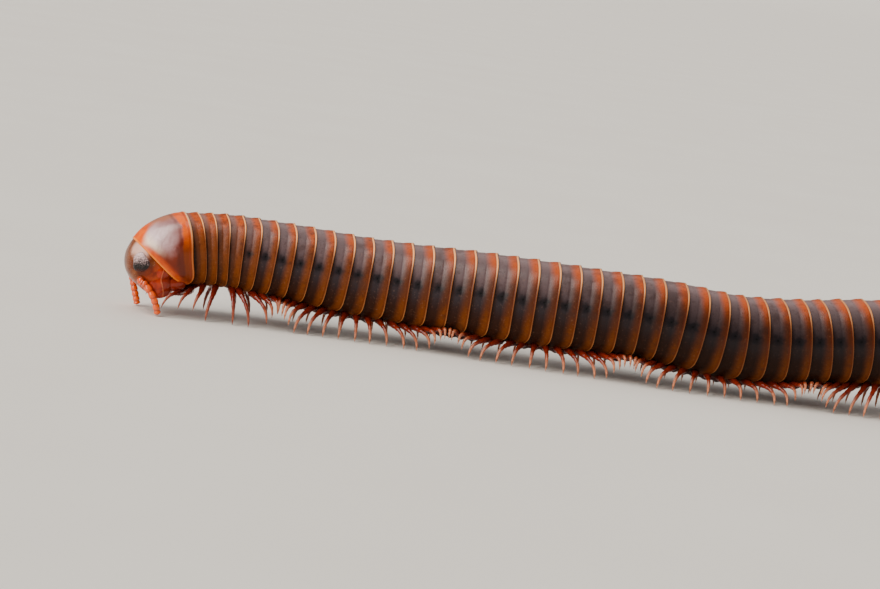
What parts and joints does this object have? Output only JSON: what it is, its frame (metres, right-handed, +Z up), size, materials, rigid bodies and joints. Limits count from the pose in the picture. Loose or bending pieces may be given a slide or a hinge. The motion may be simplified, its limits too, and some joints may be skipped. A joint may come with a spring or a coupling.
{
  "type": "spirobolus millipede",
  "caption": "Life-size walking millipede, still, with a banded cylindrical body on short legs, a domed collar shield and a curved tail end.",
  "frame": {"origin": "centre of the bounding box on the floor under the animal, z = 0 where the standing feet rest", "axes": "+X from the head towards the tail, -Y to the animal's left, +Z up"},
  "size_m": [0.0982, 0.0168, 0.0112],
  "materials": {
    "ring_shell": "glossy shell, slate blue in front of each ring and orange to brown behind, with a pale gold rear rim",
    "collum_shell": "glossy shell, orange round the edges and grey violet in the middle",
    "head_shell": "glossy, grey brown above and orange red below",
    "mouthparts": "glossy orange red with paler seams",
    "antenna_shell": "glossy orange, darker at the joints",
    "leg_shell": "glossy dark red at the root, orange red to pale pink at the tip",
    "eye": "black cluster of small facets, glossy"
  },
  "bodies": {
    "root": {"head": "head_shell", "eye_left": "eye", "eye_right": "eye", "mandible_left": "mouthparts", "mandible_right": "mouthparts", "gnathochilarium": "mouthparts", "antenna_left": "antenna_shell", "antenna_right": "antenna_shell", "collum": "collum_shell", "trunk_1": "ring_shell", "trunk_2": "ring_shell", "trunk_3": "ring_shell", "trunk_4": "ring_shell", "trunk_5": "ring_shell", "trunk_6": "ring_shell", "trunk_7": "ring_shell", "trunk_8": "ring_shell", "telson": "ring_shell", "anal_valve_left": "ring_shell", "anal_valve_right": "ring_shell"}
  },
  "joints": []
}
